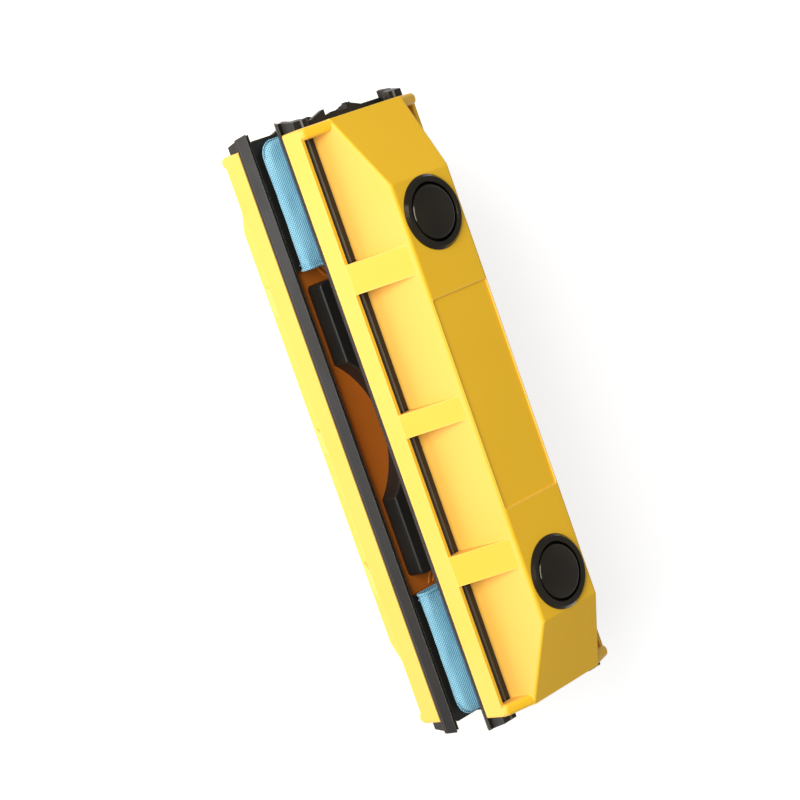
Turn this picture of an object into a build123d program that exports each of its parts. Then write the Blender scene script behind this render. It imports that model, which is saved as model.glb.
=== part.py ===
"""Two-sided magnetic glass cleaner: two identical halves that face each other across a pane.

Frame: origin in the middle of the pane, +X along the cleaner, +Z out of the upper half's handle.
Everything is modelled for the upper half, at its right end (+X) or on its back side (+Y), and
turned into its other places. Sizes are millimetres, and a height is a distance from the pane's
middle.
"""
from build123d import *
from math import hypot, sqrt
import os

# ---- driving dimensions ---------------------------------------------------------------------
length = 240.0                # skirt, end to end
skirt_width = 64.0            # skirt, side to side
pane_thickness = 6.0          # the glass that the two halves stand apart for
skirt_lift = 10.8             # pad face to the skirt's lower edge
skirt_height = 9.5
handle_height = 31.4          # skirt's lower edge to the handle face
slope_drop = 16.0             # handle face to the low end of the end slope

# housing
skirt_wall = 1.6
shell_wall = 2.2
slot_width = 7.8              # between the skirt's inner face and the foot of the side wall
slot_depth = 3.1              # skirt's top edge to the rail below it
end_flange = 4.7              # thickness of the flange across each end
flange_rise = 1.9             # flange corner above the skirt's top edge
flange_shoulder = 4.4         # flange corner up to where it meets the side wall
rib_pitch = 59.6
outer_rib_width = 12.0
middle_rib_width = 9.4
edge_radius = 1.8             # along the handle face
slope_edge_radius = 1.2
corner_radius = 1.0
flange_tip_radius = 1.8       # wing tips, seen from the end
flange_round = 2.1            # wing tips, seen from above
rib_sink = 0.1                # rib's outer face below the wall where it runs out
label_length = 85.0           # blank panel let into the handle face
label_margin = 0.9            # panel edge to the side of the handle face
label_depth = 0.7
boss_radius = 3.4             # screw bosses

# base plate and its screws
plate_thickness = 2.5
plate_gap = 0.3               # base plate below the skirt's lower edge
guide_wall = 1.5
guide_height = 5.0
ring_rib_radii = (10.2, 12.4, 14.6)   # concentric ribs round each plunger, on the glass side
ring_rib_width = 0.7
ring_rib_height = 0.6
screw_radius = 1.25
screw_head_radius = 2.5
screw_head_height = 1.4
screw_length = 9.0            # depth of the screw's hole
screw_end_gap = 1.0           # screw's tip short of the bottom of its hole
screw_slot_depth = 0.6
screw_slot_half_length = 1.5
screw_slot_half_width = 0.35
screw_inset_x = 8.0           # from the end flange
screw_offset_y = 14.0
cover_screw_shift = 0.95      # cover screw beyond half way to the magnet's pocket
cover_screw_length = 6.0
cover_pilot_depth = 2.0       # cover screw's hole below the keeper plate

# magnet cover
cover_width = 43.6
cover_height = 8.0
cover_wall = 1.6
cover_corner = 2.2
cover_edge_radius = 0.8
cover_to_pad = 6.0
waist_width = 16.4
magnet_length = 29.6
magnet_thickness = 4.6
keeper_neck = 9.0

# wipers
rail_gap = 0.38               # rail to the foot of the side wall
rail_foot = 3.3               # the rail's foot, outside the base plate's edge
rail_ridge = 0.6
rail_ridge_inset = 4.4        # ridge back from the rail's outer face
blade_head_lift = 1.4         # blade's T head above the skirt's lower edge
blade_head_width = 2.4
blade_head_height = 1.5
blade_neck = 1.1
blade_flange = 1.2
lip_height = 3.2
lip_lean = 2.4                # how far the lip's tip leans in
lip_tip = 0.4
lip_root = 1.6
inner_lip_height = 1.8
wiper_overhang = 3.0          # rail's top beyond the flange
wiper_slant = 2.8             # extra length at the lip's tip

# pads
pad_length = 53.0
pad_overhang = 0.5            # pad beyond the flange
pad_thickness = 7.0
pad_side_gap = 0.4            # pad to the wiper's inner lip
pad_corner = 6.0
pad_edge_radius = 2.4
sleeve_wall = 1.0
core_inset = 8.0              # foam back from the sleeve's open end
hook_thickness = 0.8
hook_margin = 5.0
holder_thickness = 2.2
holder_side_gap = 0.6         # holder to the wiper's inner lip
holder_inner_gap = 1.0        # holder back from the pad's inner end
holder_overhang = 1.9         # holder beyond the pad's outer end
fin_length = 2.4              # finger fins beyond the holder's end
fin_inner_y = 6.0
fin_outer_y = 14.0
fin_point = 0.6               # fin's blunt point
guide_post_radius = 3.0
guide_post_from_outer = 17.0
post_height = 4.0             # push boss and guide post above the base plate's far side

# buttons
button_inset = 6.2            # button axis from the pad's inner end
button_travel = 2.5
ring_width = 3.2              # bezel, from its bore to its rim
ring_margin_x = 0.2           # ring to the end of the handle face
ring_margin_y = 1.7           # ring to the side of the handle face
ring_rise = 1.5
ring_edge_radius = 1.1
ring_bevel = 0.4              # round the ring's bore
barrel_wall = 1.0
barrel_depth = 7.0
cap_radius = 11.3
cap_wall = 1.6
cap_dome = 0.5                # rise from the cap's edge rounding to its middle
cap_edge_radius = 2.6
cap_rise = 1.0                # cap's highest point above the ring's
cap_flange = 0.9
cap_flange_height = 1.4
socket_wall = 1.4
socket_depth = 4.0
stem_radius = 3.7
shoulder_rise = 1.8
push_boss_radius = 4.4
spring_wire = 1.2
spring_turns = 6.5

past = 1.0                    # how far a cut runs beyond the face that it opens

# clearances
fit = 0.1                     # between pieces of one body
seat = 0.2                    # between faces of one body that only meet when assembled
slide = 0.3                   # between a cap and its ring
running = 0.25                # between a post or stem and its guide

# ---- derived places -------------------------------------------------------------------------
half_length = length / 2
half_width = skirt_width / 2
pad_face = pane_thickness / 2
pad_back = pad_face + pad_thickness
skirt_bottom = pad_face + skirt_lift
skirt_top = skirt_bottom + skirt_height
handle_top = skirt_bottom + handle_height
plate_bottom = skirt_bottom - plate_gap
plate_top = plate_bottom + plate_thickness
slope_end = handle_top - slope_drop
rail_top = skirt_top - slot_depth

pad_outer = half_length + pad_overhang
pad_inner = pad_outer - pad_length
button_x = pad_inner + button_inset
ring_bore = cap_radius + slide
ring_radius = ring_bore + ring_width
face_half_length = button_x + ring_radius + ring_margin_x
face_half_width = ring_radius + ring_margin_y
foot_half_width = half_width - skirt_wall - slot_width
wall_lean = (foot_half_width - face_half_width) / (handle_top - rail_top)

rail_outer = half_width - skirt_wall - fit
rail_inner = foot_half_width + wall_lean * (rail_top - plate_top) + rail_gap
plate_half_width = rail_outer - rail_foot
plate_half_length = half_length - end_flange - seat
blade_outer = half_width - fit
blade_root = plate_bottom - fit              # where the blade meets its rail
blade_top = blade_root - blade_flange
lip_bottom = blade_top - lip_height
neck_y = (rail_outer + plate_half_width + seat) / 2
inner_lip_y = neck_y - blade_neck
blade_inner = inner_lip_y - blade_neck
pad_half_width = blade_inner - pad_side_gap

cover_half_length = pad_inner - cover_to_pad
cover_bottom = plate_bottom - cover_height
pocket_outer = cover_half_length - cover_wall
pocket_inner = pocket_outer - magnet_length - 2 * fit
scallop_half_chord = pocket_inner - cover_wall
cover_screw_x = pocket_inner / 2 + cover_screw_shift
magnet_top = cover_bottom + cover_wall + magnet_thickness   # where the keeper plate starts
keeper_top = plate_bottom - seat

hook_top = pad_back + hook_thickness
holder_top = hook_top + holder_thickness
guide_post_x = pad_outer - guide_post_from_outer
post_top = plate_top + post_height
guide_top = plate_top + guide_height
push_bore = push_boss_radius + running
post_bore = guide_post_radius + running

ring_top = handle_top + ring_rise
barrel_radius = ring_bore + barrel_wall
barrel_bottom = handle_top - barrel_depth
cap_top = ring_top + cap_rise
cap_rim = cap_top - cap_dome - cap_edge_radius   # and its ceiling
cap_foot = barrel_bottom - seat - cap_flange_height
socket_bottom = cap_rim - socket_depth
shoulder_bottom = guide_top + button_travel + fit
spring_radius = push_bore + guide_wall + running + spring_wire / 2

boss_x = half_length - end_flange - screw_inset_x


# ---- helpers --------------------------------------------------------------------------------
def block(x0, x1, y0, y1, z0, z1):
    """A box between two corners."""
    size = Box(x1 - x0, y1 - y0, z1 - z0)
    return Pos((x0 + x1) / 2, (y0 + y1) / 2, (z0 + z1) / 2) * size


def centred_block(half_x, half_y, z0, z1):
    """A box about the Z axis."""
    return block(-half_x, half_x, -half_y, half_y, z0, z1)


def disc(x, y, radius, z0, z1):
    """An upright cylinder between two heights."""
    return Pos(x, y, (z0 + z1) / 2) * Cylinder(radius, z1 - z0)


def along_x(outline, x0, x1):
    """A prism whose section is an outline of (y, z) points."""
    face = make_face(Polyline([(x0, y, z) for y, z in outline], close=True))
    return extrude(face, amount=x1 - x0, dir=(1, 0, 0))


def along_y(outline, half_y):
    """A prism about the XZ plane whose section is an outline of (x, z) points."""
    face = make_face(Polyline([(x, -half_y, z) for x, z in outline], close=True))
    return extrude(face, amount=2 * half_y, dir=(0, 1, 0))


def turned(outline, x):
    """A body of revolution about the upright axis at x, from (radius, z) points."""
    face = make_face(Polyline([(r, 0, z) for r, z in outline], close=True))
    return Pos(x, 0, 0) * revolve(face, Axis.Z)


def wall_y(z, inset=0.0):
    """Outer half width of the leaning side wall at a height."""
    return face_half_width + wall_lean * (handle_top - z) - inset


def in_all_quarters(solid):
    """The solid and its copies in the other three quarters of the plan."""
    pair = solid + mirror(solid, about=Plane.XZ)
    return pair + mirror(pair, about=Plane.YZ)


def rounded_plate(x0, x1, half_y, z0, z1, radius):
    """A plate with rounded corners at its x1 end."""
    plate = block(x0, x1, -half_y, half_y, z0, z1)
    corners = plate.edges().filter_by(Axis.Z).group_by(Axis.X)[-1]
    return fillet(corners, radius)


# ---- housing --------------------------------------------------------------------------------
def handle_block(inset, z_foot):
    """The handle's leaning walls and end slopes, set in by an amount."""
    top = handle_top - inset
    run = half_length - face_half_length
    set_back = inset * (hypot(run, slope_drop) - run) / slope_drop
    x_top = face_half_length - set_back
    x_end = half_length - inset
    z_end = top - slope_drop * (x_end - x_top) / run
    side = along_y([(-x_end, z_foot), (-x_end, z_end), (-x_top, top),
                    (x_top, top), (x_end, z_end), (x_end, z_foot)], half_width)
    foot = wall_y(z_foot, inset)
    crown = wall_y(top, inset)
    section = along_x([(-foot, z_foot), (-crown, top), (crown, top), (foot, z_foot)],
                      -half_length, half_length)
    return side & section


def rounded_handle():
    """The handle's outer form with its long, slope and end edges rounded."""
    body = handle_block(0, plate_top)
    crown = body.edges().filter_by(lambda e: e.center().Z > handle_top - 0.01)
    body = fillet(crown, edge_radius)
    def on_slope(edge):
        box = edge.bounding_box()
        return box.min.Z > slope_end - 1 and box.max.Z < handle_top - edge_radius / 2 \
            and box.max.Z - box.min.Z > slope_drop / 2
    return fillet(body.edges().filter_by(on_slope), slope_edge_radius)


def rib(x, width):
    """Gusset from the skirt's top edge up to the handle face, on the back side."""
    outline = [(half_width, rail_top + 2 * rail_ridge), (half_width, skirt_top),
               (wall_y(handle_top - edge_radius, rib_sink), handle_top - edge_radius),
               (wall_y(handle_top - edge_radius, shell_wall / 2), handle_top - edge_radius),
               (wall_y(rail_top + 2 * rail_ridge, shell_wall / 2), rail_top + 2 * rail_ridge)]
    return along_x(outline, x - width / 2, x + width / 2)


def end_flange_plate():
    """Flange across the right end, with wings that rise past the skirt."""
    corner = skirt_top + flange_rise
    shoulder = corner + flange_shoulder
    wing = wall_y(shoulder)
    outline = [(-half_width, skirt_bottom), (-half_width, corner), (-wing, shoulder),
               (wing, shoulder), (half_width, corner), (half_width, skirt_bottom)]
    plate = along_x(outline, half_length - end_flange, half_length)
    plate = fillet(plate.edges().filter_by(Axis.Z), flange_round)
    tips = plate.edges().filter_by(Axis.X).filter_by(
        lambda e: abs(e.center().Z - corner) < 0.01)
    plate = fillet(tips, flange_tip_radius)
    above_slope = along_y([(0, handle_top + past), (face_half_length, handle_top),
                           (half_length, slope_end), (half_length + past, slope_end),
                           (half_length + past, handle_top + past)], half_width)
    return plate - above_slope


def housing():
    body = rounded_handle() - handle_block(shell_wall, plate_top)
    cavity_end = plate_half_length + seat
    body -= centred_block(cavity_end, wall_y(plate_top, shell_wall), plate_top - past, plate_top)
    frame = centred_block(half_length, half_width, skirt_bottom, skirt_top)
    frame -= centred_block(half_length - end_flange, half_width - skirt_wall,
                           skirt_bottom - past, skirt_top + past)
    uprights = frame.edges().filter_by(Axis.Z).group_by(Axis.X)
    frame = fillet(uprights[0] + uprights[-1], corner_radius)
    flange = end_flange_plate()
    body += frame + flange + mirror(flange, about=Plane.YZ)
    back_ribs = rib(0, middle_rib_width)
    for x in (-rib_pitch, rib_pitch):
        back_ribs += rib(x, outer_rib_width)
    body += back_ribs + mirror(back_ribs, about=Plane.XZ)
    body += in_all_quarters(disc(boss_x, screw_offset_y, boss_radius, plate_top + seat,
                                 handle_top) & handle_block(shell_wall / 2, plate_top))
    body -= in_all_quarters(disc(boss_x, screw_offset_y, screw_radius + fit / 2, plate_top,
                                 plate_top + screw_length))
    # channels that the rails slide into, through both end flanges
    channel = block(-half_length - past, half_length + past, foot_half_width, rail_outer + fit,
                    skirt_bottom - past, rail_top + rail_ridge + seat)
    wall_foot = wall_y(plate_top) + fit
    wall_at_rail = wall_y(rail_top) + fit
    clear_of_wall = along_x([(wall_foot, plate_top), (wall_at_rail, rail_top),
                             (wall_at_rail, rail_top + 2 * past),
                             (half_width, rail_top + 2 * past),
                             (half_width, skirt_bottom - past), (wall_foot, skirt_bottom - past)],
                            -half_length - past, half_length + past)
    channel &= clear_of_wall
    body -= channel + mirror(channel, about=Plane.XZ)
    # room for the base plate
    body -= centred_block(cavity_end, plate_half_width + fit, plate_bottom - past, plate_top)
    for x in (-button_x, button_x):
        body -= disc(x, 0, barrel_radius + fit, handle_top - 2 * shell_wall, ring_top)
    label = centred_block(label_length / 2, face_half_width - label_margin,
                          handle_top - label_depth, handle_top + past)
    body -= fillet(label.edges().filter_by(Axis.Z), corner_radius)
    return body


# ---- base plate, magnets and screws ---------------------------------------------------------
def screw_places():
    return [(sx * boss_x, sy * screw_offset_y) for sx in (-1, 1) for sy in (-1, 1)]


def cover_screw_places():
    return [(-cover_screw_x, 0), (cover_screw_x, 0)]


def screw(x, y, head, tip, length_under_head):
    """Countersunk screw; head and tip say which way it points."""
    way = 1 if tip > head else -1
    throat = head + way * screw_head_height
    end = throat + way * length_under_head
    outline = [(0, head), (screw_head_radius, head), (screw_radius, throat),
               (screw_radius, end - way * screw_radius), (0, end)]
    slot_z = sorted((head, head + way * screw_slot_depth))
    cut = centred_block(screw_slot_half_length, screw_slot_half_width, *slot_z)
    cut += centred_block(screw_slot_half_width, screw_slot_half_length, *slot_z)
    return Pos(x, y, 0) * (turned(outline, 0) - cut)


def countersink(x, y, head, throat, far):
    """The hole that a countersunk screw sits in."""
    outline = [(0, head), (screw_head_radius + fit, head), (screw_radius + fit, throat),
               (screw_radius + fit, far), (0, far)]
    return Pos(x, y, 0) * turned(outline, 0)


def base_plate():
    body = centred_block(plate_half_length, plate_half_width, plate_bottom, plate_top)
    for way in (-1, 1):
        x = way * button_x
        body += disc(x, 0, push_bore + guide_wall, plate_top, guide_top)
        for radius in ring_rib_radii:
            ring = disc(x, 0, radius + ring_rib_width / 2, plate_bottom - ring_rib_height,
                        plate_bottom)
            ring -= disc(x, 0, radius - ring_rib_width / 2, plate_bottom - ring_rib_height,
                         plate_bottom)
            towards_middle = sorted((way * (cover_half_length + running),
                                     way * (pad_inner - running)))
            body += ring & block(*towards_middle, -half_width, half_width,
                                 plate_bottom - ring_rib_height, plate_bottom)
    for way in (-1, 1):
        body += disc(way * guide_post_x, 0, post_bore + guide_wall, plate_top, guide_top)
        body -= disc(way * guide_post_x, 0, post_bore, plate_bottom - past, guide_top)
        body -= disc(way * button_x, 0, push_bore, plate_bottom - past, guide_top)
    for x, y in screw_places():
        body -= countersink(x, y, plate_bottom, plate_bottom + screw_head_height, plate_top)
    for x, y in cover_screw_places():
        body -= countersink(x, y, plate_top, plate_top - screw_head_height, plate_bottom)
    return body


def cover_outline(z0, z1, inset):
    """The cover's plan: rounded ends and a waist scalloped from both sides."""
    half = cover_half_length - inset
    side = cover_width / 2 - inset
    plan = centred_block(half, side, z0, z1)
    plan = fillet(plan.edges().filter_by(Axis.Z), cover_corner - inset)
    depth = (cover_width - waist_width) / 2
    radius = (scallop_half_chord ** 2 + depth ** 2) / (2 * depth)
    centre_y = waist_width / 2 + radius
    for y in (-centre_y, centre_y):
        plan -= disc(0, y, radius + inset, z0, z1)
    return plan


def magnet_cover():
    body = cover_outline(cover_bottom, plate_bottom, 0)
    rim = body.edges().group_by(Axis.Z)[0]
    body = fillet(rim, cover_edge_radius)
    pocket_half_width = cover_width / 2 - cover_wall
    for way in (-1, 1):
        pocket = block(min(way * pocket_inner, way * pocket_outer),
                       max(way * pocket_inner, way * pocket_outer),
                       -pocket_half_width, pocket_half_width,
                       cover_bottom + cover_wall, plate_bottom)
        body -= fillet(pocket.edges().filter_by(Axis.Z), cover_corner - cover_wall)
    body -= centred_block(pocket_inner + 1, keeper_neck / 2 + fit, magnet_top, plate_bottom)
    for x, y in cover_screw_places():
        body -= disc(x, y, screw_radius + fit / 2, magnet_top - cover_pilot_depth, plate_bottom)
    return body


def magnet(way):
    """Block magnet with the pocket's rounded corners."""
    x0 = min(way * (pocket_inner + fit), way * (pocket_outer - fit))
    half_y = cover_width / 2 - cover_wall - fit
    body = block(x0, x0 + magnet_length, -half_y, half_y, cover_bottom + cover_wall, magnet_top)
    return fillet(body.edges().filter_by(Axis.Z), cover_corner - cover_wall)


def magnets():
    return Compound(children=[magnet(-1), magnet(1)])


def keeper_plate():
    """Steel plate: one leaf over each magnet, joined by a neck through the waist."""
    half_y = cover_width / 2 - cover_corner
    body = centred_block(pocket_inner + 1, keeper_neck / 2, magnet_top, keeper_top)
    for way in (-1, 1):
        near = way * (pocket_inner + fit)
        far = way * (pocket_outer - fit)
        body += block(min(near, far), max(near, far), -half_y, half_y, magnet_top, keeper_top)
    for x, y in cover_screw_places():
        body -= disc(x, y, screw_radius + 2 * fit, magnet_top - past, keeper_top + past)
    return body


def base_screws():
    return Compound(children=[screw(x, y, plate_bottom, plate_top, screw_length - screw_end_gap)
                              for x, y in screw_places()])


def cover_screws():
    return Compound(children=[screw(x, y, plate_top, plate_bottom, cover_screw_length - screw_end_gap)
                              for x, y in cover_screw_places()])


# ---- wipers ---------------------------------------------------------------------------------
def slanted_ends():
    """What the rail and blade are trimmed to: longest at the lip's tip."""
    top = half_length + wiper_overhang
    tip = top + wiper_slant
    return along_y([(-tip, lip_bottom - past), (-top, rail_top + past),
                    (top, rail_top + past), (tip, lip_bottom - past)], half_width + past)


def rail():
    """Carrier on the back side, stepped over the base plate, with a T slot for the blade."""
    lean = wall_lean * (rail_top - plate_top)
    ridge_y = rail_outer - rail_ridge_inset
    outline = [(rail_outer, skirt_bottom), (rail_outer, rail_top),
               (ridge_y + rail_ridge, rail_top), (ridge_y, rail_top + rail_ridge),
               (ridge_y - rail_ridge, rail_top), (rail_inner - lean, rail_top),
               (rail_inner, plate_top + seat), (plate_half_width + seat, plate_top + seat),
               (plate_half_width + seat, skirt_bottom)]
    reach = half_length + wiper_overhang + wiper_slant
    body = along_x(outline, -reach, reach)
    body -= along_x(blade_head(fit), -reach, reach)
    return body & slanted_ends()


def blade_head(grow):
    """Outline of the T that hangs the blade in its rail, from the flange up."""
    low = blade_root
    under = skirt_bottom + blade_head_lift
    neck = blade_neck / 2 + grow
    head = blade_head_width / 2 + grow
    top = under + blade_head_height + grow
    return [(neck_y - neck, low), (neck_y - neck, under - grow), (neck_y - head, under - grow),
            (neck_y - head, top), (neck_y + head, top), (neck_y + head, under - grow),
            (neck_y + neck, under - grow), (neck_y + neck, low)]


def blade():
    """Rubber wiper on the back side: T head, cover flange, long outer lip, short inner lip."""
    reach = half_length + wiper_overhang + wiper_slant
    flange = block(-reach, reach, blade_inner, blade_outer, blade_top, blade_root)
    tip_y = blade_outer - lip_lean
    lip = along_x([(blade_outer, blade_top), (tip_y, lip_bottom), (tip_y - lip_tip, lip_bottom),
                   (blade_outer - lip_root, blade_top)], -reach, reach)
    inner = along_x([(inner_lip_y + blade_neck / 2, blade_top),
                     (inner_lip_y - blade_neck / 2, blade_top - inner_lip_height),
                     (inner_lip_y - blade_neck / 2 - lip_tip, blade_top - inner_lip_height),
                     (blade_inner, blade_top)], -reach, reach)
    head = along_x(blade_head(0), -reach, reach)
    return (flange + lip + inner + head) & slanted_ends()


# ---- pads -----------------------------------------------------------------------------------
def pad_form(inset, x0, x1):
    """Pad block with rounded outer corners and rounded long edges, set in by an amount."""
    body = rounded_plate(x0, x1, pad_half_width - inset, pad_face + inset, pad_back - inset,
                         pad_corner - inset)
    long_edges = body.edges().filter_by(lambda e: abs(e.center().Z - pad_face - inset) < 0.01
                                        or abs(e.center().Z - pad_back + inset) < 0.01)
    long_edges = long_edges.filter_by(lambda e: e.center().X > x0 + 0.01)
    return fillet(long_edges, pad_edge_radius - inset)


def pad_sleeve():
    """Sock: closed at its outer end, open at its inner end."""
    hollow = pad_form(sleeve_wall, pad_inner - pad_corner, pad_outer - sleeve_wall)
    return pad_form(0, pad_inner, pad_outer) - hollow


def pad_core():
    return pad_form(sleeve_wall + fit, pad_inner + core_inset, pad_outer - sleeve_wall - fit)


def hook_strip():
    half_y = pad_half_width - hook_margin
    return block(pad_inner + hook_margin, pad_outer - hook_margin, -half_y, half_y,
                 pad_back, hook_top)


def pad_holder():
    """Backing plate with two finger fins, a push boss under the plunger and a guide post."""
    holder_end = pad_outer + holder_overhang
    body = rounded_plate(pad_inner + holder_inner_gap, holder_end,
                         blade_inner - holder_side_gap, hook_top, holder_top, corner_radius)
    fin = Polyline([(holder_end - past, fin_outer_y, hook_top), (holder_end, fin_outer_y, hook_top),
                    (holder_end + fin_length, fin_inner_y + fin_point, hook_top),
                    (holder_end + fin_length, fin_inner_y, hook_top),
                    (holder_end - past, fin_inner_y, hook_top)], close=True)
    fin = extrude(make_face(fin), amount=holder_thickness, dir=(0, 0, 1))
    body += fin + mirror(fin, about=Plane.XZ)
    body += disc(button_x, 0, push_boss_radius, hook_top, post_top)
    body += disc(guide_post_x, 0, guide_post_radius, hook_top, post_top)
    return body


# ---- buttons --------------------------------------------------------------------------------
def button_ring():
    """Bezel on the handle face with a barrel through it."""
    outline = [(ring_bore, barrel_bottom), (ring_bore, ring_top - ring_bevel),
               (ring_bore + ring_bevel, ring_top),
               (ring_radius - ring_edge_radius, ring_top),
               (ring_radius, ring_top - ring_edge_radius), (ring_radius, handle_top),
               (barrel_radius, handle_top), (barrel_radius, barrel_bottom)]
    return turned(outline, button_x)


def button_cap():
    """Domed cup with a catch flange below the barrel and a socket for the plunger."""
    dome_reach = cap_radius - cap_edge_radius
    dome_radius = (dome_reach ** 2 + cap_dome ** 2) / (2 * cap_dome)
    half_way = cap_top - dome_radius + sqrt(dome_radius ** 2 - (dome_reach / 2) ** 2)
    shoulder = cap_top - cap_dome
    edge_middle = cap_edge_radius * sqrt(0.5)
    flange_radius = cap_radius + cap_flange
    flange_top = cap_foot + cap_flange_height
    inside = cap_radius - cap_wall
    socket_radius = stem_radius + socket_wall
    stem_bore = stem_radius + fit / 2
    below = [(cap_radius, cap_rim), (cap_radius, flange_top), (flange_radius, flange_top),
             (flange_radius, cap_foot), (inside, cap_foot), (inside, cap_rim),
             (socket_radius, cap_rim), (socket_radius, socket_bottom),
             (stem_bore, socket_bottom), (stem_bore, cap_rim), (0, cap_rim), (0, cap_top)]
    dome = ThreePointArc((0, 0, cap_top), (dome_reach / 2, 0, half_way),
                         (dome_reach, 0, shoulder))
    edge = ThreePointArc((dome_reach, 0, shoulder),
                         (dome_reach + edge_middle, 0, cap_rim + edge_middle),
                         (cap_radius, 0, cap_rim))
    outline = dome + edge + Polyline([(r, 0, z) for r, z in below])
    return Pos(button_x, 0, 0) * revolve(make_face(outline), Axis.Z)


def plunger():
    """Stem from the cap's socket down to the pad holder's push boss, with a stop shoulder."""
    body = disc(button_x, 0, stem_radius, post_top + fit, cap_rim)
    shoulder = push_bore + guide_wall / 2
    return body + disc(button_x, 0, shoulder, shoulder_bottom, shoulder_bottom + shoulder_rise)


def spring():
    """Return spring between the base plate and the cap's ceiling."""
    z0 = plate_top + spring_wire / 2
    rise = cap_rim - plate_top - spring_wire
    path = Helix(pitch=rise / spring_turns, height=rise, radius=spring_radius)
    start = Plane(origin=path @ 0, z_dir=path % 0)
    coil = sweep(start * Circle(spring_wire / 2), path=path)
    return Pos(button_x, 0, z0) * coil


# ---- placing and writing --------------------------------------------------------------------
half_turns = {"upper": Rot(0, 0, 0), "lower": Rot(180, 0, 0)}
about_z = Rot(0, 0, 180)

whole_pieces = {"housing": housing, "base_plate": base_plate, "magnet_cover": magnet_cover,
                "magnets": magnets, "keeper_plate": keeper_plate, "base_screws": base_screws,
                "cover_screws": cover_screws}
side_pieces = {"rail": rail, "blade": blade}
end_pieces = {"button_ring": button_ring, "button_cap": button_cap, "plunger": plunger,
              "spring": spring, "pad_holder": pad_holder, "hook_strip": hook_strip,
              "pad_core": pad_core, "pad_sleeve": pad_sleeve}


def write(name, solid):
    solid.label = name
    export_step(solid, f"parts/{name}.step")


os.makedirs("parts", exist_ok=True)
for piece, make in whole_pieces.items():
    solid = make()
    for half, turn in half_turns.items():
        write(f"{half}_{piece}", turn * solid)
for piece, make in side_pieces.items():
    solid = make()
    write(f"upper_back_{piece}", solid)
    write(f"upper_front_{piece}", about_z * solid)
    write(f"lower_front_{piece}", half_turns["lower"] * solid)
    write(f"lower_back_{piece}", half_turns["lower"] * about_z * solid)
for piece, make in end_pieces.items():
    solid = make()
    for half, turn in half_turns.items():
        write(f"{half}_right_{piece}", turn * solid)
        write(f"{half}_left_{piece}", turn * about_z * solid)

print("pad inner end", pad_inner, "button axis", button_x, "cover half length", cover_half_length)
print("handle face", 2 * face_half_length, "by", 2 * face_half_width, "at", handle_top)
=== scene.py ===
# %% [markdown]
# # A two-sided magnetic glass cleaner
#
# The cleaner is two identical halves that grip a pane between them. Each half is a ribbed yellow
# handle, two black rubber wipers, a black magnet block and two blue microfibre pads.
# The hard parts come from the packed CAD frame at their real size, so this lesson has two jobs:
# give every piece the finish its maker would give it, and build the soft pieces that CAD can
# only hold as plain blocks.

# %% Load the frame
import math
import bmesh
import bpy
from mathutils import Euler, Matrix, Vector, noise


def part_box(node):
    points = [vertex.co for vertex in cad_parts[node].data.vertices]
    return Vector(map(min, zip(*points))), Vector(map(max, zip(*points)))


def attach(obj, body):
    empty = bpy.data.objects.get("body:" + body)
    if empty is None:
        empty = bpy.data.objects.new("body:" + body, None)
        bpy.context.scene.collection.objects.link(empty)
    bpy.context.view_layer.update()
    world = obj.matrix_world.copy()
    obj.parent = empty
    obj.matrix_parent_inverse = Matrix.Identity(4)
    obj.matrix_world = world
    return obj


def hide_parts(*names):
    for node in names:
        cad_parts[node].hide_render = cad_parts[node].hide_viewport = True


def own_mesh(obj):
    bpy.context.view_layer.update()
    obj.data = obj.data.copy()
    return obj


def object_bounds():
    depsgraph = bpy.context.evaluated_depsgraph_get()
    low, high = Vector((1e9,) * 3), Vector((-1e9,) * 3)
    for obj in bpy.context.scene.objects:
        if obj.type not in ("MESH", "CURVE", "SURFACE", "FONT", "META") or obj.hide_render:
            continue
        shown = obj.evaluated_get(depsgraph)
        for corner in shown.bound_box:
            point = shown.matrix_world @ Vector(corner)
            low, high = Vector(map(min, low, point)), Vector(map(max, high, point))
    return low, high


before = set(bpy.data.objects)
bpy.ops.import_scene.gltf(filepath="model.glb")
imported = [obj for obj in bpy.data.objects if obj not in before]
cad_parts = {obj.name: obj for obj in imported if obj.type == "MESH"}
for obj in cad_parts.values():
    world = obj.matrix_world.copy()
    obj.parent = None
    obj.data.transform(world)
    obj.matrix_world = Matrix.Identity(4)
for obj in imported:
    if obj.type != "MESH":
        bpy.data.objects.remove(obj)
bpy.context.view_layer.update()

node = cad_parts
MM = 0.001
halves = ("upper", "lower")
ends = ("left", "right")

# %% [markdown]
# ## Shader maths as plain expressions
#
# A finish is mostly arithmetic on a few patterns: how dark is the grain here, how worn is the
# edge there. Wiring Math nodes by hand hides that arithmetic, so a small class wraps a socket
# and lets Python's operators add the nodes. Reflected operators are included, which is what
# makes `1 - mask` work. Every other node comes from one method that takes the node's type,
# its settings and what goes into its sockets.

# %% The socket wrapper
class Wire:
    """A shader socket that can be used in expressions."""

    def __init__(self, finish, socket):
        self.finish = finish
        self.socket = socket

    def _math(self, operation, *values):
        made = self.finish.add("ShaderNodeMath", dict(operation=operation),
                               dict(enumerate(values)))
        return made[0]

    def __add__(self, other):
        return self._math("ADD", self, other)

    def __radd__(self, other):
        return self._math("ADD", other, self)

    def __sub__(self, other):
        return self._math("SUBTRACT", self, other)

    def __rsub__(self, other):
        return self._math("SUBTRACT", other, self)

    def __mul__(self, other):
        return self._math("MULTIPLY", self, other)

    def __rmul__(self, other):
        return self._math("MULTIPLY", other, self)

    def sine(self):
        return self._math("SINE", self)

    def floor(self):
        return self._math("FLOOR", self)

    def size(self):
        return self._math("ABSOLUTE", self)

    def at_least(self, other):
        return self._math("MAXIMUM", self, other)

    def above(self, limit):
        return self._math("GREATER_THAN", self, limit)


operators = sorted(name for name in vars(Wire) if not name.startswith("_"))
print("socket maths besides + - *:", operators)


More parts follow.
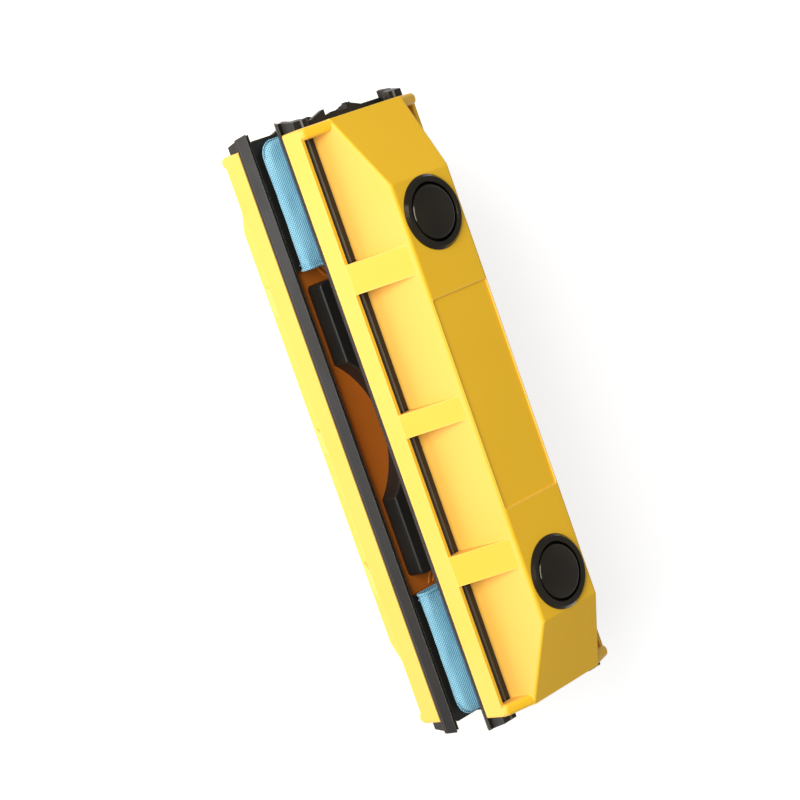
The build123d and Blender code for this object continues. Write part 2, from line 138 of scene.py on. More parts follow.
# %% [markdown]
# ## A finish is a material with one shader
#
# Each finish owns a material whose Principled shader holds the constants directly on its own
# sockets. Only colour, roughness and the bump that feeds the normal change over the surface,
# because those are what survives when the model is baked for other programs.

# %% The finish class
class Finish:
    """A material under construction."""

    def __init__(self, name, **constants):
        self.material = bpy.data.materials.new(name)
        self.material.use_nodes = True
        self.tree = self.material.node_tree
        self.shader = self.tree.nodes["Principled BSDF"]
        for socket, value in constants.items():
            self.shader.inputs[socket.replace("_", " ").title().replace("Ior", "IOR")
                               ].default_value = value
        self.place = self.add("ShaderNodeTexCoord")["Object"]

    def add(self, kind, settings=None, inputs=None):
        """Adds a node; settings go on first, then values or wires into its sockets."""
        made = self.tree.nodes.new(kind)
        for name, value in (settings or {}).items():
            if name == "stops":
                self._stops(made.color_ramp, value)
            else:
                setattr(made, name, value)
        for name, value in (inputs or {}).items():
            target = made.inputs[name]
            if isinstance(value, Wire):
                self.tree.links.new(value.socket, target)
            else:
                target.default_value = value
        return {key: Wire(self, socket) for index, socket in enumerate(made.outputs)
                for key in (index, socket.name)}

    @staticmethod
    def _stops(ramp, stops):
        while len(ramp.elements) < len(stops):
            ramp.elements.new(1.0)
        for element, (position, colour) in zip(ramp.elements, stops):
            element.position = position
            element.color = colour

    def feed(self, socket, wire):
        self.tree.links.new(wire.socket, self.shader.inputs[socket])
        return self

    def noise(self, per_metre, detail=3.0, roughness=0.55, place=None):
        """Soft noise from 0 to 1, with a number of lumps for each metre."""
        made = self.add("ShaderNodeTexNoise", None,
                        {"Vector": place or self.place, "Scale": per_metre, "Detail": detail,
                         "Roughness": roughness})
        return made["Fac"]

    def axes(self, place=None):
        made = self.add("ShaderNodeSeparateXYZ", None, {"Vector": place or self.place})
        return made["X"], made["Y"], made["Z"]

    def squeezed(self, x, y, z):
        """The surface's place, scaled by an amount along each axis."""
        return self.add("ShaderNodeVectorMath", dict(operation="MULTIPLY"),
                        {0: self.place, 1: (x, y, z)})["Vector"]

    def blend(self, low, high, mask):
        """Mixes two colours by a mask."""
        made = self.add("ShaderNodeMix", dict(data_type="RGBA"), {0: mask, 6: low, 7: high})
        return made[2]

    def ramp(self, value, low, high):
        """Stretches value so that low becomes 0 and high becomes 1."""
        return self.add("ShaderNodeMapRange", None, {"Value": value, "From Min": low,
                                                     "From Max": high})["Result"]

    def bump(self, height, depth, strength=1.0):
        """Feeds the normal from a height of 0 to 1 that stands for a depth in metres."""
        made = self.add("ShaderNodeBump", None, {"Height": height, "Distance": depth,
                                                 "Strength": strength})
        return self.feed("Normal", made["Normal"])

    def facing(self, axis):
        """How squarely the surface faces along an axis, either way, from 0 to 1."""
        normal = self.add("ShaderNodeNewGeometry")["Normal"]
        return self.add("ShaderNodeSeparateXYZ", None, {"Vector": normal})[axis].size()

    def edges(self, reach):
        """1 on convex edges within reach, 0 on flats."""
        bevel = self.add("ShaderNodeBevel", dict(samples=4), {"Radius": reach})["Normal"]
        flat = self.add("ShaderNodeNewGeometry")["Normal"]
        same = self.add("ShaderNodeVectorMath", dict(operation="DOT_PRODUCT"),
                        {0: bevel, 1: flat})["Value"]
        return self.ramp(same, 0.995, 0.90)


def colour(red, green, blue):
    """A colour from 0 to 255 as screens name it, turned into the linear values that nodes use."""
    def linear(channel):
        share = channel / 255
        return share / 12.92 if share <= 0.04045 else ((share + 0.055) / 1.055) ** 2.4
    return (linear(red), linear(green), linear(blue), 1.0)


# %% [markdown]
# ## Yellow moulded shell
#
# The shells look injection-moulded in a warm yellow, pigmented right through. A lightly sparked
# mould leaves a satin surface whose grain is a fraction of a millimetre. The plastic is one
# yellow, but the skirt, walls and ribs are painted paler than the crown and the end slopes, so
# one function takes a painted-light colour for upright faces and a painted-shade colour for
# level ones. Pigment never mixes perfectly, so a very faint cloud runs through the colour. The
# proud edges are painted paler as a highlight, and handling has polished them, which lowers
# their roughness. The base plate takes the same function with a deeper amber, painted shade for
# the shadow it sits in inside each half.

# %% Shell finish
def shell_finish(name, shaded_crown, lit_flank, streak, edge):
    """Moulded shell: level faces painted shaded, upright ones painted lit, streaks, edge
    highlights.
    """
    shell = Finish(name, roughness=0.42, ior=1.5, coat_roughness=0.25, specular_ior_level=0.30)
    # Level faces take the shaded crown colour and upright faces the lit flank colour: painted shade
    # and painted light on one plastic.
    flank_light_mask = shell.ramp(shell.facing("Z"), 0.75, 0.30)
    cloud = shell.noise(18, detail=2)
    fleck = shell.noise(900, detail=2)
    tone = shell.blend(shaded_crown, lit_flank, flank_light_mask)
    tone = shell.blend(tone, streak, shell.ramp(cloud, 0.45, 0.75) * 0.22)
    tone = shell.blend(tone, streak, shell.ramp(fleck, 0.62, 0.80) * 0.25)
    # Convex edges are painted paler as a highlight; the same mask lowers roughness where handling
    # has polished them.
    wear_and_highlight = shell.edges(0.0006)
    shell.feed("Base Color", shell.blend(tone, edge, wear_and_highlight * 0.7))
    grain = shell.noise(3800, detail=2, roughness=0.6)
    scuffs = shell.noise(60, detail=4, place=shell.squeezed(0.35, 3.0, 1.0))
    shell.feed("Roughness", 0.40 + grain * 0.10 + shell.ramp(scuffs, 0.55, 0.75) * 0.06
               - wear_and_highlight * 0.10)
    shell.bump(grain, 0.00003, 0.55)
    return shell.material


# %% [markdown]
# ## Black parts: three different blacks
#
# A maker would use three blacks here. The magnet cover, rails and pad holders are taken as nylon
# with a satin spark finish. The button bezels and caps are polished, so they stand out under the
# thumb. The wipers are extruded rubber, whose die leaves long faint lines and a dry bloom.

# %% Satin black
def satin_black_finish(name, wear_and_highlight_share, highlight_height=None):
    """Spark-finished nylon. Above a ridge height the rail's ridge is painted bright as a highlight.
    """
    nylon = Finish(name, roughness=0.45, specular_ior_level=0.42)
    cloud = nylon.noise(25, detail=3)
    tone = nylon.blend(colour(27, 26, 23), colour(38, 36, 32), nylon.ramp(cloud, 0.35, 0.65))
    # Convex edges are lightened towards warm grey: partly edge wear, and on the rails mostly a
    # painted highlight, with the ridge top painted bright as well.
    wear_and_highlight = nylon.edges(0.0004)
    if highlight_height is not None:
        height = nylon.axes()[2].size()
        wear_and_highlight = wear_and_highlight.at_least(height.above(highlight_height))
    nylon.feed("Base Color", nylon.blend(tone, colour(104, 96, 84), wear_and_highlight * wear_and_highlight_share))
    grain = nylon.noise(2600, detail=3, roughness=0.65)
    nylon.feed("Roughness", 0.36 + grain * 0.22 - wear_and_highlight * 0.08)
    nylon.bump(grain, 0.00004, 0.6)
    return nylon.material


# %% Polished black
def gloss_black_finish():
    # The warm cast of these blacks and of the specular tint is a painted reflection of the yellow
    # shell around the buttons.
    polish = Finish("polished_black", roughness=0.16, specular_ior_level=0.42, coat_weight=0.25,
                    coat_roughness=0.08, specular_tint=colour(255, 236, 205))
    film = polish.noise(70, detail=5)
    tone = polish.blend(colour(15, 13, 10), colour(30, 25, 17), polish.ramp(film, 0.4, 0.7))
    polish.feed("Base Color", tone)
    hairline = polish.noise(260, detail=4, place=polish.squeezed(0.3, 4.0, 1.0))
    polish.feed("Roughness", 0.15 + polish.ramp(film, 0.45, 0.75) * 0.07
                + polish.ramp(hairline, 0.62, 0.72) * 0.05)
    polish.bump(polish.noise(120, detail=1), 0.00002, 0.25)
    return polish.material


# %% Wiper rubber
def rubber_finish():
    rubber = Finish("extruded_wiper_rubber", roughness=0.6, specular_ior_level=0.4)
    lines = rubber.noise(1800, detail=3, place=rubber.squeezed(0.012, 1.0, 1.0))
    bloom = rubber.noise(45, detail=5, place=rubber.squeezed(0.5, 1.0, 1.0))
    # Both browns are warmed as a painted reflection of the yellow shell; the bloom that mixes them
    # is the rubber's own.
    tone = rubber.blend(colour(25, 21, 18), colour(42, 36, 30), rubber.ramp(bloom, 0.45, 0.75))
    # Convex edges are painted much paler: a painted highlight along the lip edges.
    tone = rubber.blend(tone, colour(138, 126, 108), rubber.edges(0.0003) * 0.75)
    rubber.feed("Base Color", tone)
    rubber.feed("Roughness", 0.46 + rubber.ramp(bloom, 0.4, 0.7) * 0.16)
    rubber.bump(lines, 0.00008, 0.6)
    return rubber.material


# %% [markdown]
# ## Metals that hide inside
#
# The magnets are nickel plated, the keeper and screws are zinc plated, and the springs are
# drawn wire. They are only glimpsed when the halves are taken apart, but a viewer who
# takes them apart should find plating with its own faint bloom, not grey paint.

# %% Plated metal
def plated_finish(name, bright, dull, roughness, streak):
    metal = Finish(name, metallic=1.0, roughness=roughness)
    bloom = metal.noise(160, detail=5)
    draw = metal.noise(900, detail=3, place=metal.squeezed(streak, 1.0, 1.0))
    metal.feed("Base Color", metal.blend(dull, bright, metal.ramp(bloom, 0.35, 0.65)))
    metal.feed("Roughness", roughness - 0.06 + metal.ramp(bloom, 0.3, 0.7) * 0.1 + draw * 0.06)
    metal.bump(draw, 0.00002, 0.4)
    return metal.material


# %% [markdown]
# ## Microfibre
#
# The sock is a split-fibre microfibre knitted as fine cords that run the length of the pad and
# turn over its long edges. Adding the distance across the pad to the distance from the glass
# gives one measure that stays even round that turn, so the cords are worked out from it with
# no seam. Each cord is a row of small loops, and neighbouring rows are half a loop out of
# step. On the sides the loops are pulled open and show more than the cords do. Crests catch
# light and grooves hold shadow, so the colour follows the same height as the bump.

# %% Microfibre finish
CORD_PITCH = 0.95 * MM
LOOP_PITCH = 1.00 * MM


def microfibre_finish(name, groove, crest):
    cloth = Finish(name, roughness=0.9, specular_ior_level=0.2, sheen_weight=0.25,
                   sheen_roughness=0.5, sheen_tint=colour(205, 240, 255))
    x, y, z = cloth.axes()
    wander = (cloth.noise(140, detail=2) - 0.5) * 1.6
    round_pad = (y.size() + z.size()) * (1 / CORD_PITCH) + wander * 0.16
    row = round_pad.floor()
    cords = 0.5 - (round_pad * (2 * math.pi)).sine() * 0.5
    loops = (x * (2 * math.pi / LOOP_PITCH) + row * math.pi + wander).sine() * 0.5 + 0.5
    flat = cloth.ramp(cloth.facing("Z"), 0.25, 0.95)
    fluff = cloth.noise(3000, detail=4, roughness=0.7)
    height = cords * (0.36 + flat * 0.24) + loops * (0.44 - flat * 0.20) + fluff * 0.26
    soft = cloth.noise(70, detail=3)
    tone = cloth.blend(groove, crest, cloth.ramp(height, 0.22, 0.85))
    tone = cloth.blend(tone, groove, cloth.ramp(soft, 0.45, 0.75) * 0.25)
    cloth.feed("Base Color", tone)
    cloth.feed("Roughness", 0.82 + fluff * 0.16)
    cloth.bump(height, 0.00035, 0.75)
    return cloth.material


# %% Thread, foam and hook tape
def thread_finish():
    thread = Finish("blue_stitching", roughness=0.7, sheen_weight=0.2)
    twist_and_painted_light = thread.add("ShaderNodeTexWave", dict(wave_type="BANDS", bands_direction="DIAGONAL"),
                       {"Vector": thread.place, "Scale": 900.0, "Distortion": 1.0})["Fac"]
    # The bands are painted paler on the ply crests and darker between them: painted light and shade
    # that follows the bump.
    thread.feed("Base Color", thread.blend(colour(70, 160, 196), colour(176, 228, 242), twist_and_painted_light))
    thread.bump(twist_and_painted_light, 0.0001, 0.6)
    return thread.material


def foam_finish():
    foam = Finish("open_cell_foam", roughness=0.95, specular_ior_level=0.1)
    cell_depth_and_shade = foam.add("ShaderNodeTexVoronoi", dict(feature="F1"),
                     {"Vector": foam.place, "Scale": 1400.0})["Distance"]
    # Cell pits are painted darker than their rims: painted shade in the hollows, following the same
    # depth as the bump.
    foam.feed("Base Color", foam.blend(colour(34, 36, 40), colour(78, 82, 88), cell_depth_and_shade))
    foam.bump(cell_depth_and_shade, 0.0003, 0.8)
    return foam.material


def hook_finish():
    tape = Finish("nylon_hook_tape", roughness=0.55)
    cloud = tape.noise(300, detail=3)
    tape.feed("Base Color", tape.blend(colour(22, 22, 24), colour(52, 52, 54), cloud))
    tape.bump(tape.noise(2400, detail=2), 0.0001, 0.5)
    return tape.material


yellow = shell_finish("yellow_moulded_shell", shaded_crown=colour(252, 198, 42),
                      lit_flank=colour(250, 194, 88), streak=colour(240, 182, 26),
                      edge=colour(255, 230, 128))
# The base plate is painted a deeper amber than the housing: painted shade for where it sits inside
# each half.
painted_shade_amber = shell_finish("base_plate_painted_shade", shaded_crown=colour(200, 110, 32), lit_flank=colour(208, 122, 38),
                     streak=colour(176, 88, 20), edge=colour(226, 150, 62))
satin_black = satin_black_finish("satin_black_nylon", wear_and_highlight_share=0.25)
# The rail finish paints a highlight along the top of the rail's ridge.
rail_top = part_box("upper_back_rail")[1].z
RIDGE_HIGHLIGHT_DEPTH = 0.45 * MM
ridge_highlit_black = satin_black_finish("satin_black_rail_painted_highlight", wear_and_highlight_share=0.75, highlight_height=rail_top - RIDGE_HIGHLIGHT_DEPTH)
gloss_black = gloss_black_finish()
rubber = rubber_finish()
nickel = plated_finish("nickel_plate", colour(214, 208, 196), colour(168, 160, 146), 0.28, 1.0)
zinc = plated_finish("zinc_plate", colour(178, 180, 182), colour(128, 130, 132), 0.4, 0.2)
wire_steel = plated_finish("spring_wire", colour(170, 170, 172), colour(110, 110, 114), 0.32, 1.0)
microfibre = microfibre_finish("blue_microfibre", colour(36, 122, 164), colour(182, 232, 240))
# The lining is the same cloth in darker colours: painted shade for the inside of the sock.
painted_shade_lining = microfibre_finish("blue_microfibre_lining_painted_shade", colour(30, 98, 132), colour(86, 160, 190))
stitching = thread_finish()
foam = foam_finish()
hook_tape = hook_finish()
finishes = (yellow, painted_shade_amber, satin_black, ridge_highlit_black, gloss_black, rubber, nickel, zinc, wire_steel,
            microfibre, painted_shade_lining, stitching, foam, hook_tape)
print("finishes", [finish.name for finish in finishes])

# %% [markdown]
# ## Dress the CAD pieces
#
# Each CAD node keeps its exact shape and takes its finish by the last words of its name, so
# both halves and both ends are dressed by one loop.

# %% Assign the finishes
finish_of = {"housing": yellow, "base_plate": painted_shade_amber, "magnet_cover": satin_black,
             "magnets": nickel, "keeper_plate": zinc, "base_screws": zinc,
             "cover_screws": zinc, "rail": ridge_highlit_black, "blade": rubber,
             "button_ring": gloss_black, "button_cap": gloss_black, "plunger": satin_black,
             "spring": wire_steel, "pad_holder": satin_black, "hook_strip": hook_tape,
             "pad_core": foam, "pad_sleeve": microfibre}


def dress(piece, finish):
    """Gives a piece one finish all over."""
    piece.data.materials.clear()
    piece.data.materials.append(finish)


dressed = 0
for name, piece in node.items():
    kind = next(words for words in finish_of if name.endswith(words))
    dress(piece, finish_of[kind])
    dressed += 1
print("dressed", dressed, "nodes")

# %% [markdown]
# ## Springs
#
# A return spring stands on the base plate and carries the cap, so it would shorten by the cap's
# travel when the button goes in, its foot, the end nearer the glass, staying where it is. Here
# each spring only gets a mesh of its own, and the share of its height it would keep is worked out.

# %% Springs
BUTTON_TRAVEL = 2.5 * MM


def close_up(half, end):
    """Gives a spring a mesh of its own, and returns the share of its height that pressing would
    keep.
    """
    spring = node[f"{half}_{end}_spring"]
    low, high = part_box(spring.name)
    kept = 1 - BUTTON_TRAVEL / (high.z - low.z)
    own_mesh(spring)
    return kept


print("springs keep", [round(close_up(half, end), 3) for half in halves for end in ends])

# %% [markdown]
# ## The microfibre socks
#
# Each pad is a knitted sock pulled over a foam block: closed and seamed at the outer end, open
# and hemmed at the inner end. A box with rounded corners would look like moulded plastic,
# because real knitting is held tight at its seams and swells between them. So the blank starts
# a little smaller than the pad, is remeshed evenly, and is blown up from inside as cloth.
# How far a point may move is capped, which keeps the sock off the wipers beside it. Then the
# inner end is cut open and the skin is given the thickness of the knit.

# %% Pad sizes
SOCK_WALL = 1.0 * MM
START_INSET = 0.35 * MM
SWELL_CAP = 0.5 * MM
PLAN_CORNER = 6.0 * MM
LONG_EDGE = 2.6 * MM
VOXEL = 1.3 * MM
STATIONS_ALONG = 20
STATIONS_ROUND = 12
BLUNT_TIP = 0.02 * MM


def pad_frame(half, end):
    """Where a pad is: centre line, half width, glass face, back face, inner and outer ends."""
    low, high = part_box(f"{half}_{end}_pad_sleeve")
    way = 1 if end == "right" else -1
    up = 1 if half == "upper" else -1
    return dict(way=way, up=up, half_width=(high.y - low.y) / 2,
                glass=min(abs(low.z), abs(high.z)), back=max(abs(low.z), abs(high.z)),
                inner=min(abs(low.x), abs(high.x)), outer=max(abs(low.x), abs(high.x)),
                body=f"{half}_{end}_pad", name=f"{half}_{end}")


MOST_ROUNDING = 0.98            # the most of a half side that a corner may take


def girth(half_width, half_height, edge, steps=8):
    """Points round a pad's section: a rectangle with rounded corners, about its centre."""
    edge = min(edge, half_height * MOST_ROUNDING, half_width * MOST_ROUNDING)
    points = []
    for quarter, (sy, sz) in enumerate(((1, 1), (-1, 1), (-1, -1), (1, -1))):
        centre = (sy * (half_width - edge), sz * (half_height - edge))
        for step in range(steps + 1):
            angle = math.pi / 2 * (quarter + step / steps)
            points.append((centre[0] + edge * math.cos(angle),
                           centre[1] + edge * math.sin(angle)))
    return points


def narrowing(distance, radius):
    """How much a rounded end has drawn in at a distance from its tip."""
    reach = max(0.0, radius - distance)
    return radius - math.sqrt(max(0.0, radius * radius - reach * reach))


# %% Sock blank
def skin(mesh, rings):
    """Joins rings of points into a closed lofted form."""
    count = len(rings[0])
    for near, far in zip(rings, rings[1:]):
        for i in range(count):
            j = (i + 1) % count
            mesh.faces.new((near[i], near[j], far[j], far[i]))
    mesh.faces.new(rings[0])
    mesh.faces.new(rings[-1])
    bmesh.ops.recalc_face_normals(mesh, faces=mesh.faces)
    return mesh


def sock_blank(pad, inset):
    """The closed form of a pad, set in all round, lofted from its inner to its outer end."""
    x0, x1 = pad["inner"] + inset, pad["outer"] - inset
    half_height = (pad["back"] - pad["glass"]) / 2 - inset
    middle = (pad["back"] + pad["glass"]) / 2
    corner = PLAN_CORNER - inset
    stations = [x0 + (x1 - corner - x0) * step / STATIONS_ALONG
                for step in range(STATIONS_ALONG + 1)]
    stations += [x1 - corner * (1 - math.sin(math.pi / 2 * step / STATIONS_ROUND))
                 for step in range(1, STATIONS_ROUND + 1)]
    mesh = bmesh.new()
    rings = []
    for x in stations:
        tip = x1 - x + BLUNT_TIP
        width = pad["half_width"] - inset - narrowing(tip, corner)
        height = half_height - narrowing(tip, LONG_EDGE)
        rings.append([mesh.verts.new((pad["way"] * x, y, pad["up"] * (middle + z)))
                      for y, z in girth(width, height, LONG_EDGE)])
    return skin(mesh, rings)


def as_object(mesh, name):
    """Turns a bmesh into an object in the scene."""
    data = bpy.data.meshes.new(name)
    mesh.to_mesh(data)
    mesh.free()
    made = bpy.data.objects.new(name, data)
    bpy.context.scene.collection.objects.link(made)
    return made


def use_modifiers(piece):
    """Replaces a piece's mesh with what its modifiers make of it."""
    seen = bpy.context.evaluated_depsgraph_get()
    data = bpy.data.meshes.new_from_object(piece.evaluated_get(seen))
    piece.modifiers.clear()
    piece.data = data


def smooth(piece):
    piece.data.shade_smooth()
    return piece


# %% [markdown]
# ## Blowing up the blanks
#
# Cloth under pressure needs an even mesh, so a voxel remesh comes first. All four blanks are
# stepped together, because one run through the frames moves every cloth in the scene. Each
# point's travel is then capped before the mesh is kept.

# %% Simulate the socks
pads = [pad_frame(half, end) for half in halves for end in ends]
PRESSURE = 4.0
LAST_FRAME = 20


def even_mesh(piece):
    remesh = piece.modifiers.new("even", "REMESH")
    remesh.mode = "VOXEL"
    remesh.voxel_size = VOXEL
    remesh.adaptivity = 0.0
    use_modifiers(piece)


def blow_up(pieces):
    """Swells closed pieces as cloth and keeps the capped result. Returns the largest travel."""
    starts = [[vertex.co.copy() for vertex in piece.data.vertices] for piece in pieces]
    for piece in pieces:
        cloth = piece.modifiers.new("knit", "CLOTH").settings
        cloth.use_pressure = True
        cloth.uniform_pressure_force = PRESSURE
        cloth.effector_weights.gravity = 0
        cloth.quality = 5
    scene = bpy.context.scene
    for step in range(1, LAST_FRAME + 1):
        scene.frame_set(step)
    travel = 0.0
    for piece, start in zip(pieces, starts):
        use_modifiers(piece)
        for vertex, origin in zip(piece.data.vertices, start):
            move = vertex.co - origin
            travel = max(travel, move.length)
            if move.length > SWELL_CAP:
                move.length = SWELL_CAP
            vertex.co = origin + move
    scene.frame_set(1)
    return travel


socks = []
for pad in pads:
    sock = as_object(sock_blank(pad, START_INSET), f"{pad['name']}_sock")
    even_mesh(sock)
    socks.append(sock)
print("largest free travel, mm", round(blow_up(socks) / MM, 3))

# %% [markdown]
# ## Opening, thickness and slack
#
# A knit is never perfectly even, so a slow, seeded noise moves the skin by a tenth of a
# millimetre or two. The inner end is then sliced off square, and solidify turns the skin into
# a wall that can be seen into from the open end.

# %% Cut, thicken and smooth
OPEN_TRIM = 0.9 * MM
SLACK = 0.16 * MM
WIDE_LUMPS = 130
FINE_LUMPS = 310


def open_and_thicken(piece, pad):
    mesh = bmesh.new()
    mesh.from_mesh(piece.data)
    for vertex in mesh.verts:
        lump = noise.noise(vertex.co * WIDE_LUMPS) + 0.5 * noise.noise(vertex.co * FINE_LUMPS)
        vertex.co += vertex.normal * (SLACK * lump)
    cut_x = pad["way"] * (pad["inner"] + OPEN_TRIM)
    bmesh.ops.bisect_plane(mesh, geom=mesh.verts[:] + mesh.edges[:] + mesh.faces[:],
                           plane_co=(cut_x, 0, 0), plane_no=(-pad["way"], 0, 0),
                           clear_outer=True)
    mesh.to_mesh(piece.data)
    mesh.free()
    wall = piece.modifiers.new("wall", "SOLIDIFY")
    wall.thickness = SOCK_WALL
    wall.offset = -1
    wall.material_offset = 1
    piece.modifiers.new("soft", "SUBSURF").levels = 1
    piece.data.materials.append(microfibre)
    piece.data.materials.append(painted_shade_lining)
    use_modifiers(piece)
    smooth(piece)


for sock, pad in zip(socks, pads):
    open_and_thicken(sock, pad)
    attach(sock, pad["body"])
    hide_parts(f"{pad['name']}_pad_sleeve")
print("sock faces", [len(sock.data.polygons) for sock in socks])

# %% [markdown]
# ## Hem, stitches and end seam
#
# The open end is rolled into a hem and stitched back, and the outer end is closed by an
# overlocked seam. These are small round things that follow a line, so each is a curve or a row
# of capsules placed along the pad's own section.

# %% Trim helpers
HEM_RADIUS = 0.62 * MM
HEM_INSET = 0.55 * MM
STITCH_LENGTH = 1.5 * MM
STITCH_GAP = 0.9 * MM
STITCH_RADIUS = 0.17 * MM
STITCH_FROM_END = 3.0 * MM
STITCH_SINK = 0.08 * MM
SEAM_RADIUS = 0.30 * MM
SEAM_STEPS = 12


def tube(name, points, radius, closed):
    """A round cord along points, as a mesh."""
    line = bpy.data.curves.new(name, "CURVE")
    line.dimensions = "3D"
    spline = line.splines.new("POLY")
    spline.points.add(len(points) - 1)
    for target, point in zip(spline.points, points):
        target.co = (*point, 1)
    spline.use_cyclic_u = closed
    line.bevel_depth = radius
    line.bevel_resolution = 3
    line.use_fill_caps = not closed
    drawn = bpy.data.objects.new(name, line)
    bpy.context.scene.collection.objects.link(drawn)
    seen = bpy.context.evaluated_depsgraph_get()
    data = bpy.data.meshes.new_from_object(drawn.evaluated_get(seen))
    bpy.data.objects.remove(drawn)
    made = bpy.data.objects.new(name, data)
    bpy.context.scene.collection.objects.link(made)
    return smooth(made)


def section_points(pad, x, inset):
    """The pad's outline at a distance along it, in the row frame."""
    middle = (pad["back"] + pad["glass"]) / 2
    height = (pad["back"] - pad["glass"]) / 2
    return [Vector((pad["way"] * x, y, pad["up"] * (middle + z)))
            for y, z in girth(pad["half_width"] - inset, height - inset, LONG_EDGE, steps=6)]


def evenly(points, pitch):
    """Places round a closed line at an even pitch, each with the line's direction there."""
    loop = points + points[:1]
    lengths = [(b - a).length for a, b in zip(loop, loop[1:])]
    total = sum(lengths)
    count = int(total / pitch)
    places = []
    leg, walked = 0, 0.0
    for index in range(count):
        target = total * (index + 0.5) / count
        while walked + lengths[leg] < target:
            walked += lengths[leg]
            leg += 1
        start, end = loop[leg], loop[leg + 1]
        places.append((start.lerp(end, (target - walked) / lengths[leg]),
                       (end - start).normalized()))
    return places


# %% Hem, stitches and seam
def hem(pad):
    x = pad["inner"] + OPEN_TRIM
    return tube(f"{pad['name']}_sock_hem", section_points(pad, x, HEM_INSET),
                HEM_RADIUS, True)


def stitches(pad):
    """A row of short thread capsules round the hem."""
    mesh = bmesh.new()
    outline = section_points(pad, pad["inner"] + STITCH_FROM_END, STITCH_SINK)
    for place, direction in evenly(outline, STITCH_LENGTH + STITCH_GAP):
        turn = direction.to_track_quat("Z", "Y").to_matrix().to_4x4()
        made = bmesh.ops.create_uvsphere(mesh, u_segments=8, v_segments=6, radius=STITCH_RADIUS)
        for vertex in made["verts"]:
            vertex.co.z *= STITCH_LENGTH / (2 * STITCH_RADIUS)
            vertex.co = place + turn @ vertex.co
    return smooth(as_object(mesh, f"{pad['name']}_sock_stitches"))


def end_seam(pad):
    """Overlocked seam round the closed end, half way up the pad."""
    middle = (pad["back"] + pad["glass"]) / 2
    x1 = pad["outer"]
    points = []
    for side in (-1, 1):
        arc = []
        for step in range(SEAM_STEPS + 1):
            angle = math.pi / 2 * step / SEAM_STEPS
            arc.append(Vector((pad["way"] * (x1 - PLAN_CORNER * (1 - math.sin(angle))),
                               side * (pad["half_width"] - PLAN_CORNER * (1 - math.cos(angle))),
                               pad["up"] * middle)))
        points += arc if side < 0 else arc[::-1]
    return tube(f"{pad['name']}_sock_seam", points, SEAM_RADIUS, False)


trims = 0
for pad in pads:
    for piece, finish in ((hem(pad), microfibre), (stitches(pad), stitching),
                          (end_seam(pad), microfibre)):
        dress(piece, finish)
        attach(piece, pad["body"])
        trims += 1
print("trims", trims)

# %% [markdown]
# ## Foam blocks
#
# The foam is cut square, squeezed by the sock, and bulges where the sock leaves it free, at
# the open end. A lofted block whose inner end is crowned shows that from the opening.

# %% Foam
FOAM_GAP = 0.25 * MM
CROWN = 2.4 * MM
FOAM_EDGE = 1.8 * MM


def foam_block(pad):
    low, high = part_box(f"{pad['name']}_pad_core")
    x0, x1 = sorted((abs(low.x), abs(high.x)))
    half_width = (high.y - low.y) / 2 - FOAM_GAP
    bottom, top = sorted((abs(low.z), abs(high.z)))
    middle = (bottom + top) / 2
    half_height = (top - bottom) / 2 - FOAM_GAP
    mesh = bmesh.new()
    rings = []
    stations = [(0.0, 0.05), (0.15, 0.45), (0.5, 0.8), (1.0, 0.95), (2.2, 1.0)]
    shapes = [(x0 - CROWN + CROWN * along, share) for along, share in stations]
    shapes += [(x1 - 8 * MM, 1.0), (x1 - 2 * MM, 0.93), (x1 - 0.4 * MM, 0.8)]
    for x, share in shapes:
        rings.append([mesh.verts.new((pad["way"] * x, y, pad["up"] * (middle + z)))
                      for y, z in girth(half_width * (0.55 + 0.45 * share), half_height * share,
                                        FOAM_EDGE * share, steps=5)])
    block = as_object(skin(mesh, rings), f"{pad['name']}_foam_block")
    block.modifiers.new("soft", "SUBSURF").levels = 1
    use_modifiers(block)
    return smooth(block)


for pad in pads:
    block = foam_block(pad)
    dress(block, foam)
    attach(block, pad["body"])
    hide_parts(f"{pad['name']}_pad_core")
print("foam blocks", len(pads))

# %% [markdown]
# ## Floor, light and camera
#
# The cleaner stands on its lower half on a pale sweep. The light is a wide soft panel low on
# the front side, which makes the ribbed flank the brightest face and lets the handle face fall
# to a deeper gold, and a pale sky fills the rest. The camera is long and looks down over the
# front side, rolled so that the cleaner runs steeply through the frame.

# %% Studio
FLOOR_SIZE = 6.0
FLOOR_GLOW = 0.55
KEY_TOWARD = (-0.29, -0.87, 0.47)
KEY_DISTANCE = 1.1
KEY_SIZE = (0.9, 0.6)
KEY_POWER = 12.6
SKY_STRENGTH = 0.34


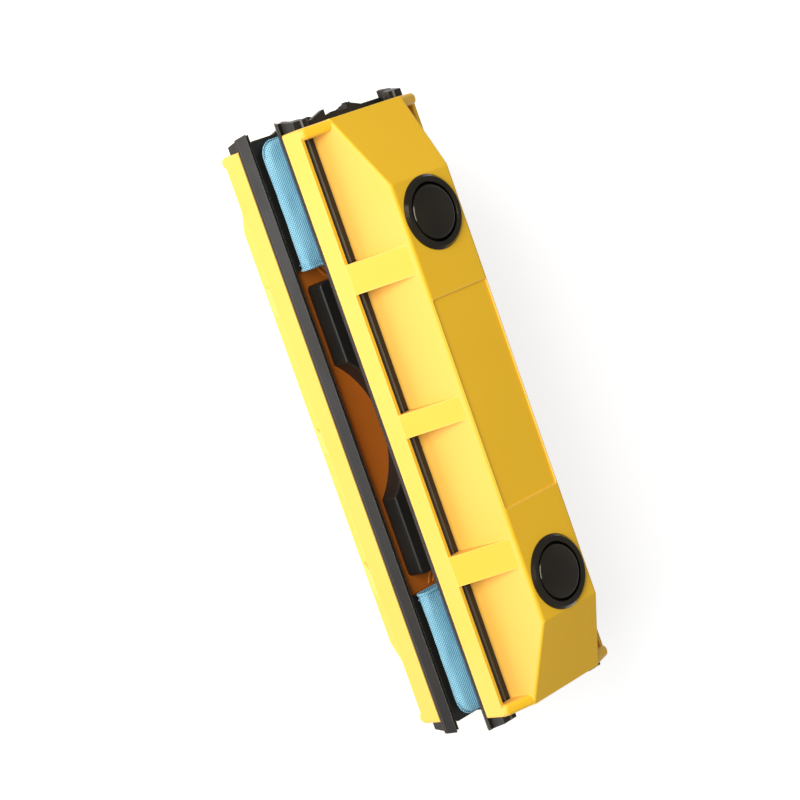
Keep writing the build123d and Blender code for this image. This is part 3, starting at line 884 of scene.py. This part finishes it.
def studio():
    low = Vector(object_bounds()[0])
    bpy.ops.mesh.primitive_plane_add(size=FLOOR_SIZE, location=(0, 0, low.z))
    floor = bpy.context.object
    floor.name = "studio_floor"
    paper = Finish("pale_paper", roughness=0.9, specular_ior_level=0.1,
                   emission_color=(1, 1, 1, 1), emission_strength=FLOOR_GLOW)
    mottle = paper.noise(6, detail=3)
    paper.feed("Base Color", paper.blend(colour(250, 250, 250), colour(255, 255, 255), mottle))
    floor.data.materials.append(paper.material)


def panel(name, toward, distance, size, power):
    """A soft area light that faces the cleaner from a direction."""
    lamp = bpy.data.lights.new(name, "AREA")
    lamp.shape = "RECTANGLE"
    lamp.size, lamp.size_y = size
    lamp.energy = power
    holder = bpy.data.objects.new(name, lamp)
    bpy.context.scene.collection.objects.link(holder)
    away = Vector(toward).normalized()
    holder.location = away * distance
    holder.rotation_euler = (-away).to_track_quat("-Z", "Y").to_euler()


def sky(strength):
    world = bpy.data.worlds.new("studio_sky")
    bpy.context.scene.world = world
    world.use_nodes = True
    backdrop = world.node_tree.nodes["Background"]
    backdrop.inputs["Color"].default_value = (1, 1, 1, 1)
    backdrop.inputs["Strength"].default_value = strength


studio()
panel("key_panel", KEY_TOWARD, KEY_DISTANCE, KEY_SIZE, KEY_POWER)
sky(SKY_STRENGTH)
print("key panel", KEY_POWER, "W, sky", SKY_STRENGTH)

# %% Camera
VIEW_AZIMUTH = math.radians(-8.33)
VIEW_ELEVATION = math.radians(47.28)
VIEW_ROLL = math.radians(76.71)
VIEW_DISTANCE = 932.4 * MM
AIM = Vector((-6.4, -3.4, -4.0)) * MM
LENS = 105.07


def camera():
    lens = bpy.data.cameras.new("long_lens")
    lens.sensor_width = 36.0
    lens.lens = LENS
    lens.clip_start = 0.01
    view = bpy.data.objects.new("camera", lens)
    bpy.context.scene.collection.objects.link(view)
    level = Euler((math.pi / 2 - VIEW_ELEVATION, 0, VIEW_AZIMUTH)).to_matrix()
    roll = Euler((0, 0, VIEW_ROLL)).to_matrix()
    aimed = level @ roll
    view.matrix_world = aimed.to_4x4()
    view.location = AIM + aimed @ Vector((0, 0, VIEW_DISTANCE))
    bpy.context.scene.camera = view
    return view


eye = camera()
bpy.context.scene.view_settings.view_transform = "Standard"
print("camera at", [round(value, 4) for value in eye.location])
